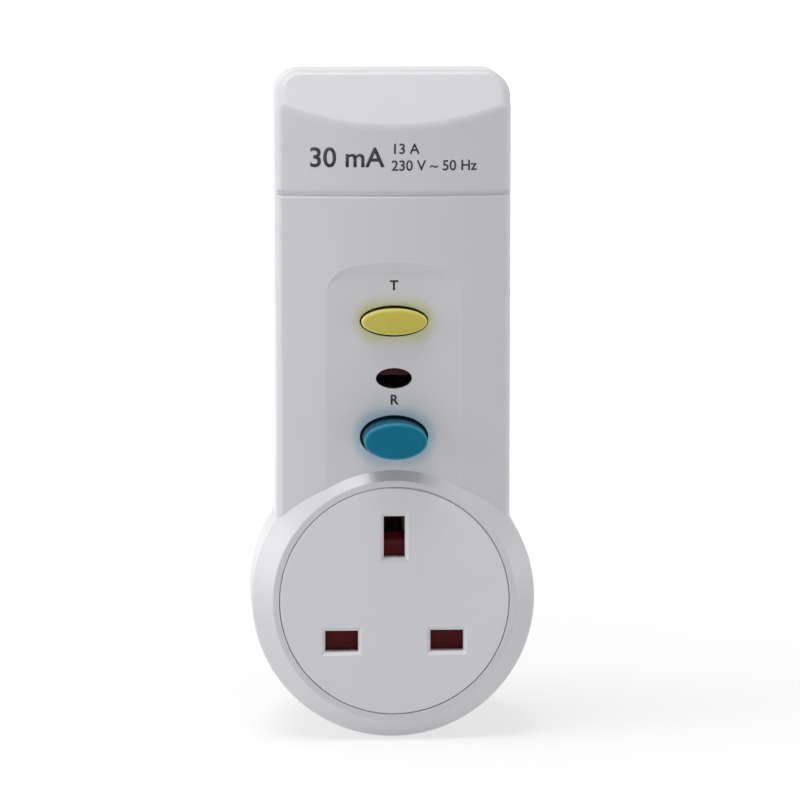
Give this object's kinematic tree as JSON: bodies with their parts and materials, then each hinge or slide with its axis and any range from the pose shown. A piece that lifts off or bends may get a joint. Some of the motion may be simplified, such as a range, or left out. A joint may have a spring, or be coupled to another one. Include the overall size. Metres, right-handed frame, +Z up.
{
  "type": "rcd adapter plug",
  "caption": "Plug-in residual current adapter with a shuttered socket, test and reset buttons and a trip flag window, on mains plug pins.",
  "frame": {"origin": "on the flat plug face, on the axis of the round socket boss", "axes": "+Z up the body, +Y along the plug pins into the wall, -Y towards the user"},
  "size_m": [0.0598, 0.0707, 0.1411],
  "materials": {
    "white_shell": "satin moulded",
    "blue_button": "satin",
    "yellow_button": "satin",
    "red_plastic": "moulded",
    "flag_red": "moulded",
    "pin_brass": "machined",
    "contact_copper": "stamped",
    "sleeve_black": "moulded",
    "grey_moulding": "moulded",
    "white_moulding": "moulded",
    "steel": "plated",
    "board_green": "solder mask",
    "copper_wire": "enamelled",
    "ferrite_core": "sintered",
    "component_black": "moulded",
    "component_blue": "dipped",
    "component_tan": "dipped",
    "lead_brown": "extruded",
    "lead_blue": "extruded"
  },
  "bodies": {
    "casing": {"front_cover": "white_shell", "rear_cover": "white_shell", "socket_face": "white_shell", "shutter_spring": "steel", "contact_carrier": "grey_moulding", "carrier_screws": "steel", "live_socket_contact": "contact_copper", "neutral_socket_contact": "contact_copper", "earth_socket_contact": "contact_copper", "live_pin": "pin_brass", "neutral_pin": "pin_brass", "earth_pin": "pin_brass", "live_pin_sleeve": "sleeve_black", "neutral_pin_sleeve": "sleeve_black", "pin_retainer": "grey_moulding", "retainer_screws": "steel", "cover_screws": "steel", "earth_link": "contact_copper", "mechanism_frame": "white_moulding", "live_supply_contact": "contact_copper", "neutral_supply_contact": "contact_copper", "live_load_contact": "contact_copper", "neutral_load_contact": "contact_copper", "live_load_bar": "contact_copper", "neutral_load_bar": "contact_copper", "carriage_springs": "steel", "reset_spring": "steel", "test_leaf": "contact_copper", "test_terminal": "contact_copper", "solenoid_frame": "steel", "solenoid_bobbin": "white_moulding", "solenoid_coil": "copper_wire", "plunger_spring": "steel", "circuit_board": "board_green", "board_screws": "steel", "transformer_winding": "copper_wire", "transformer_core": "ferrite_core", "storage_capacitor": "component_black", "varistor": "component_blue", "film_capacitor": "component_tan", "control_chip": "component_black", "thyristor": "component_black", "rectifier_diodes": "component_black", "resistors": "component_tan", "test_resistor": "component_tan", "live_lead": "lead_brown", "neutral_lead": "lead_blue"},
    "reset_button": {"reset_button": "blue_button"},
    "test_button": {"test_button": "yellow_button"},
    "shutter": {"shutter": "red_plastic"},
    "contact_carriage": {"contact_carriage": "grey_moulding", "live_bridge": "contact_copper", "neutral_bridge": "contact_copper", "latch_spring": "steel"},
    "latch_plate": {"latch_plate": "steel"},
    "flag_indicator": {"flag_indicator": "flag_red"},
    "solenoid_plunger": {"solenoid_plunger": "steel"}
  },
  "joints": [
    {"name": "reset_press", "type": "slide", "parent": "casing", "child": "reset_button", "axis": [0, 1, 0], "range_m": [0, 0.0035], "stiffness_N_per_m": 400, "deforming": ["reset_spring"]},
    {"name": "test_press", "type": "slide", "parent": "casing", "child": "test_button", "axis": [0, 1, 0], "range_m": [0, 0.0015], "stiffness_N_per_m": 400, "deforming": ["test_leaf"]},
    {"name": "shutter_slide", "type": "slide", "parent": "casing", "child": "shutter", "axis": [0, 0, -1], "range_m": [0, 0.005], "stiffness_N_per_m": 200, "deforming": ["shutter_spring"]},
    {"name": "carriage_slide", "type": "slide", "parent": "casing", "child": "contact_carriage", "axis": [0, -1, 0], "range_m": [0, 0.002], "stiffness_N_per_m": 400, "deforming": ["carriage_springs"]},
    {"name": "latch_slide", "type": "slide", "parent": "contact_carriage", "child": "latch_plate", "axis": [0, 0, -1], "range_m": [0, 0.0016], "stiffness_N_per_m": 200, "deforming": ["latch_spring"]},
    {"name": "flag_slide", "type": "slide", "parent": "casing", "child": "flag_indicator", "axis": [0, 0, -1], "range_m": [0, 0.0036]},
    {"name": "plunger_slide", "type": "slide", "parent": "casing", "child": "solenoid_plunger", "axis": [0, 0, -1], "range_m": [0, 0.0016], "stiffness_N_per_m": 400, "deforming": ["plunger_spring"]}
  ],
  "couplings": [
    {"joint": "flag_slide", "follows": "carriage_slide", "ratio": 1.8},
    {"joint": "latch_slide", "follows": "plunger_slide", "ratio": 1}
  ]
}
